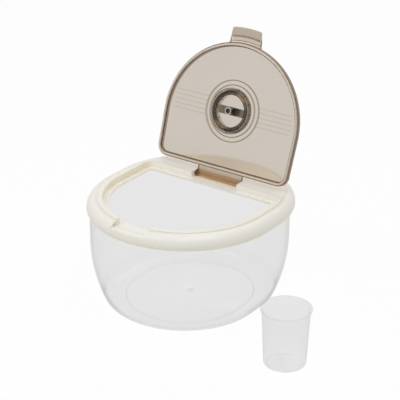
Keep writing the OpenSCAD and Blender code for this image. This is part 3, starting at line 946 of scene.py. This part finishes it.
# %% Tub sizes
TUB_HALF_WIDTH = 125.5
TUB_WALL = 2.4
TUB_RIM_Z = 138.4
TUB_FOOT_CURVE = 16.5
TUB_SIDE_CURVE = 192
TUB_UPRIGHT_Z = 88
UPRIGHT_RINGS_Z = (100, 112, 124, 132, 135, 136.6)
FOOT_RISE = 1.2
GATE_R = 2.2
GATE_Z = 1.0
PANEL_HALF_WIDTH = 81.5
CURVES_APART = TUB_SIDE_CURVE - TUB_FOOT_CURVE
CURVES_APART_Z = TUB_UPRIGHT_Z - TUB_FOOT_CURVE
SIDE_CENTRE = (TUB_HALF_WIDTH - TUB_SIDE_CURVE, TUB_UPRIGHT_Z)
FOOT_CENTRE = (SIDE_CENTRE[0] + math.sqrt(CURVES_APART ** 2 - CURVES_APART_Z ** 2), TUB_FOOT_CURVE)
MEET = math.degrees(math.asin(CURVES_APART_Z / CURVES_APART))
print("the tub's foot and side curves meet", round(MEET, 1), "degrees below level")

# %% [markdown]
# ## The tub's shell
# Rings of the tub's outline, one for each point of the section, make a true shell: from
# the middle of the underside out to the foot, up the outside, over the rounded rim, down
# the inside and back to the middle. A single surface with a Solidify modifier would be
# quicker, but its foot and its rim would come out square.


# %% Build the tub
def stadium(radius, straight, z, steps=72):
    """A ring with two half-round ends, from sizes in millimetres to points in metres."""
    ring = []
    for end, start in ((1, 0), (-1, 180)):
        for x, y in arc((0, end * straight), radius, start, start + 180, steps):
            ring.append((x * MM, y * MM, z * MM))
    return ring


def tub_wall(inset):
    """The wall's section from the foot up, moved in by inset."""
    foot = arc(FOOT_CENTRE, TUB_FOOT_CURVE - inset, -90, -MEET, 14)
    side = arc(SIDE_CENTRE, TUB_SIDE_CURVE - inset, -MEET, 0, 18)
    return foot + side[1:] + [(TUB_HALF_WIDTH - inset, z) for z in UPRIGHT_RINGS_Z]


def tub_underside():
    """Radius, height and straight half length of the rings below the tub, from its middle out."""
    gate = [(0.7, GATE_Z, 0), (GATE_R, GATE_Z, 0), (GATE_R + 0.5, FOOT_RISE, 0), (30, FOOT_RISE, 4)]
    step = [(-0.8, FOOT_RISE), (0, FOOT_RISE - 0.3), (0.3, 0.3), (1, 0)]
    return gate + [(PANEL_HALF_WIDTH + out, z, PANEL_STRAIGHT) for out, z in step]


def build_tub():
    """The tub as one closed shell."""
    floor_z = FOOT_RISE + TUB_WALL
    rim_centre = (TUB_HALF_WIDTH - TUB_WALL / 2, TUB_RIM_Z - TUB_WALL / 2)
    inside = [(r, z) for r, z in reversed(tub_wall(TUB_WALL)) if z > floor_z + 0.3]
    wall = tub_wall(0) + arc(rim_centre, TUB_WALL / 2, 0, 180, 8) + inside
    floor = [(95, floor_z, TUB_STRAIGHT), (40, floor_z, 6), (2, floor_z, 0)]
    section = tub_underside() + [(r, z, TUB_STRAIGHT) for r, z in wall] + floor
    rings = [stadium(r, straight, z) for r, z, straight in section]
    obj = make_object("tub_piece", loft("tub_piece", rings), TUB_CLEAR, "bin")
    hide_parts("tub")
    return obj


tub = build_tub()
print("tub faces:", len(tub.data.polygons))

# %% [markdown]
# ## The collar
# The collar is one ivory moulding that snaps on the tub's rim. It has a rounded shoulder, a
# flat deck, the ledge that the lid's seal lies on, a notch for the finger tab and a pocket
# for the hinge. It could be modelled afresh with a subdivided cage, but its shoulder has to
# meet the lid and the hinge to a tenth of a millimetre. All its shapes are in the packed
# solid, so the copy only has its edges eased, as a mould maker would.

# %% Build the collar
softened("collar", 0.5 * MM, "bin", COLLAR_IVORY, flat=True)

# %% [markdown]
# ## The lid, its seal and its dial
# The lid carries the seal in a channel, and the dial goes through it: the knob outside, the
# keeper inside, and a screw with its washer that draws them together over an o-ring. They
# are exact shapes that fit each other, so they are softened copies too. The rounding on
# every edge also gives the dark lines of the smoked plastic their width. The washer and
# the o-ring are hardly seen, and stay as packed.

# %% Build the lid and the dial
# Node, rounding in millimetres, body, slot and material
LID_PIECES = [
    ("lid", 0.35, "lid", "lid_smoke", LID_SMOKE),
    ("lid_seal", 0.5, "lid", "seal_silicone", SEAL_SILICONE),
    ("dial_knob", 0.5, "dial", "dial_dark", KNOB_SMOKE),
    ("dial_keeper", 0.4, "dial", "dial_dark", KEEPER_SMOKE),
    ("dial_screw", 0.15, "dial", "screw_steel", SCREW_STEEL),
]
for node, width, body, slot, material in LID_PIECES:
    softened(node, width * MM, body, material)
for node, material in (("dial_washer", SCREW_STEEL), ("dial_o_ring", O_RING_RUBBER)):
    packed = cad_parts[node].data
    packed.materials.clear()
    packed.materials.append(material)
    print(node, "stays as packed, in", material.name)

# %% [markdown]
# ## The dial's numbers
# The dial tells in which month the bin was filled, so its ring carries the plain numbers
# 1 to 12, printed so thinly that a finger hardly feels them. They could be an image on the
# ring, but letters from a text curve stay sharp and are real faces. Each number is set
# upright at the top of the ring and then turned to its place, as a clock face is laid out.

# %% Number the dial
MONTHS = 12
NUMBER_R = 24.6 * MM
NUMBER_H = 3.4 * MM
DIGIT_SHARE = 0.7
RING_FACE = 5.5 * MM
INK_PROUD = 0.06 * MM
INK_WELD = 1e-7
NUMBER_INK = moulded_plastic("dial_number_ink", (0.34, 0.32, 0.29), (0.30, 0.28, 0.25), 0.45)


def number_mesh(number):
    """One number as a thin flat mesh, upright and centred."""
    text = bpy.data.curves.new("number", "FONT")
    text.body = str(number)
    text.size = NUMBER_H / DIGIT_SHARE
    text.align_x = "CENTER"
    text.align_y = "CENTER"
    text.extrude = INK_PROUD
    holder = bpy.data.objects.new("number", text)
    bpy.context.scene.collection.objects.link(holder)
    graph = bpy.context.evaluated_depsgraph_get()
    mesh = bpy.data.meshes.new_from_object(holder.evaluated_get(graph))
    bpy.data.objects.remove(holder)
    bpy.data.curves.remove(text)
    return mesh


def build_numbers():
    """The ring of numbers on the outside of the dial, clockwise from the hinge's side."""
    to_dial = Matrix((RIGHT, -FRONTWARD, SHEET_AXIS)).transposed().to_4x4()
    to_dial = Matrix.Translation(DIAL_CENTRE + RING_FACE * SHEET_AXIS) @ to_dial
    work = bmesh.new()
    for number in range(1, MONTHS + 1):
        mesh = number_mesh(number)
        turned = Matrix.Rotation(-number * math.tau / MONTHS, 4, "Z")
        mesh.transform(to_dial @ turned @ Matrix.Translation((0, NUMBER_R, 0)))
        work.from_mesh(mesh)
        bpy.data.meshes.remove(mesh)
    bmesh.ops.remove_doubles(work, verts=work.verts, dist=INK_WELD)
    mesh = bpy.data.meshes.new("dial_numbers")
    work.to_mesh(mesh)
    work.free()
    return make_object("dial_numbers", mesh, NUMBER_INK, "dial")


numbers = build_numbers()
print(numbers.name, len(numbers.data.polygons), "faces")

# %% [markdown]
# ## The measuring cup
# The cup that comes with a rice bin holds 180 ml to its brim. It is a thin clear moulding
# whose wall leans out a little, so that it leaves the mould, with a flat rim that is
# thicker than the wall, a rounded foot and a shallow recess under it. Its section is drawn
# point by point and turned round the cup's axis, as a lathe would, because a cylinder with
# modifiers would not keep the wall even through the foot curve. Sizes are in millimetres.

# %% Cup sizes
CUP_H = 78
CUP_TOP_R = 30.4
CUP_FOOT_R = 26.9
CUP_RIM_R = 32.5
CUP_RIM_H = 2.2
CUP_CURVE = 4
CUP_WALL = 1.2
CUP_RECESS = 0.4
CUP_RIM_EASE = 0.6
CUP_MOUTH_EASE = 0.5
CUP_MIDDLE_R = 0.5
CUP_RINGS_Z = (20, 40, 60)
CUP_LEAN = math.atan((CUP_TOP_R - CUP_FOOT_R) / CUP_H)
CUP_CURVE_X = CUP_FOOT_R - CUP_CURVE * (1 - math.sin(CUP_LEAN)) / math.cos(CUP_LEAN)
print("the cup's wall leans", round(math.degrees(CUP_LEAN), 2), "degrees")


# %% Build the cup
def cup_side(z, inset):
    """The wall's radius at a height."""
    return CUP_FOOT_R + z * math.tan(CUP_LEAN) - inset / math.cos(CUP_LEAN)


def cup_outside():
    """The section from the middle of the underside up to the top of the rim."""
    recess_r = CUP_FOOT_R - CUP_CURVE - 4
    under_z = CUP_H - CUP_RIM_H
    rim_r = CUP_RIM_R - CUP_RIM_EASE
    section = [(CUP_MIDDLE_R, CUP_RECESS), (recess_r - 0.3, CUP_RECESS), (recess_r, 0)]
    section += arc((CUP_CURVE_X, CUP_CURVE), CUP_CURVE, -90, -math.degrees(CUP_LEAN), 8)
    section += [(cup_side(z, 0), z) for z in (*CUP_RINGS_Z, under_z - 0.4)]
    section += [(cup_side(under_z, 0) + 0.4, under_z), (rim_r, under_z)]
    section += arc((rim_r, under_z + CUP_RIM_EASE), CUP_RIM_EASE, -90, 0, 3)
    return section + arc((rim_r, CUP_H - CUP_RIM_EASE), CUP_RIM_EASE, 0, 90, 3)


def cup_inside():
    """The section from the mouth down to the middle of the inside."""
    mouth_r = cup_side(CUP_H, CUP_WALL)
    section = [(mouth_r + CUP_MOUTH_EASE, CUP_H), (mouth_r, CUP_H - CUP_MOUTH_EASE)]
    section += [(cup_side(z, CUP_WALL), z) for z in reversed(CUP_RINGS_Z)]
    section += arc((CUP_CURVE_X, CUP_CURVE), CUP_CURVE - CUP_WALL, -math.degrees(CUP_LEAN), -90, 6)
    return section + [(12, CUP_WALL), (CUP_MIDDLE_R, CUP_WALL)]


def build_cup(steps=96):
    """The cup as one closed shell, standing beside the bin."""
    rings = []
    for r, z in cup_outside() + cup_inside():
        ring = arc(CUP_AT, r, 0, 360, steps)[:-1]
        rings.append([(x * MM, y * MM, z * MM) for x, y in ring])
    name = "measuring_cup_piece"
    obj = make_object(name, loft(name, rings), CUP_CLEAR, "cup")
    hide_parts("measuring_cup")
    return obj


cup = build_cup()
print("cup faces:", len(cup.data.polygons))

# %% [markdown]
# ## The backdrop
# The floor and the world are white where they are seen directly, in gloss or through the
# plastic, and give softer light than they show. A brighter lamp on the floor would whiten
# it too, but it would wash out the ivory. So a Light Path node tells each way of meeting the
# backdrop apart, and the matt part that is left keeps the bin's shadow.

# %% Floor and world
FLOOR_HALF = 4
FLOOR_Z = -0.0004
FLOOR_MATT = grey(0.86)
FLOOR_SHOWS = 0.93
BEHIND_PLASTIC = 0.815
IN_GLOSS = 0.8
WORLD_LIGHT = 0.60
WHITE = grey(1)


def backdrop(recipe):
    """Where the backdrop is seen by an eye, a gloss or through plastic, and how bright."""
    directly, in_gloss, through = [
        recipe.add("ShaderNodeLightPath", output=name)
        for name in ("Is Camera Ray", "Is Glossy Ray", "Is Transmission Ray")
    ]
    met = (directly + in_gloss + through).clamped()
    mirrored = in_gloss * (1 - through)
    return met, met - (1 - BEHIND_PLASTIC) * through - (1 - IN_GLOSS) * mirrored


def build_floor():
    """A wide sheet just below the bin, matt under its white."""
    mesh = bpy.data.meshes.new("floor")
    corners = [(-1, -1), (1, -1), (1, 1), (-1, 1)]
    mesh.from_pydata([(x * FLOOR_HALF, y * FLOOR_HALF, FLOOR_Z) for x, y in corners], [], [(0, 1, 2, 3)])
    obj = bpy.data.objects.new("floor", mesh)
    bpy.context.scene.collection.objects.link(obj)
    recipe = Recipe("studio_floor")
    met, brightness = backdrop(recipe)
    matt = recipe.add("ShaderNodeBsdfDiffuse", {}, {"Color": FLOOR_MATT})
    white = recipe.add("ShaderNodeEmission", {}, {"Color": WHITE, "Strength": brightness})
    mixed = recipe.add("ShaderNodeMixShader", {}, {0: met * FLOOR_SHOWS, 1: matt, 2: white})
    recipe.add("ShaderNodeOutputMaterial", {}, {"Surface": mixed})
    mesh.materials.append(recipe.material)
    print("floor", 2 * FLOOR_HALF, "m wide, of which", FLOOR_SHOWS, "is white where it is seen")


def build_world():
    """White all round where it is seen, and a softer light on the bin."""
    world = bpy.data.worlds.new("studio")
    bpy.context.scene.world = world
    world.use_nodes = True
    recipe = Recipe(tree=world.node_tree)
    met, brightness = backdrop(recipe)
    strength = brightness + (1 - met) * WORLD_LIGHT
    light = recipe.add("ShaderNodeBackground", {}, {"Color": WHITE, "Strength": strength})
    recipe.add("ShaderNodeOutputWorld", {}, {"Surface": light})
    print("the world lights the bin at", WORLD_LIGHT)


build_floor()
build_world()

# %% [markdown]
# ## The lamps
# Opaque ivory needs a direction in its light, or its shoulder looks flat. One hard lamp
# would do that with a hard shadow, so three large soft ones share the work: the key from
# the front left shapes the shoulder, the one behind draws the rear of the collar, and the
# one high on the right fills the deck.

# %% Lamps
# Name, turn and rise in degrees, distance and size in metres, and power in watts
LAMPS = [
    ("key", -35, 50, 1.8, 1.0, 5.5),
    ("back", 195, 50, 2.0, 1.2, 4),
    ("top", 60, 72, 2.0, 1.2, 9.5),
]


def soft_lamp(name, turn, rise, away, size, power):
    """A square area lamp that looks at the bin."""
    lamp = bpy.data.lights.new(name, "AREA")
    lamp.size = size
    lamp.energy = power
    obj = bpy.data.objects.new(name, lamp)
    bpy.context.scene.collection.objects.link(obj)
    aim(obj, LOOK_AT + away * direction(math.radians(turn), math.radians(rise)), LOOK_AT)
    print(name, "lamp,", power, "W, at", [round(c, 2) for c in obj.location])


for lamp in LAMPS:
    soft_lamp(*lamp)
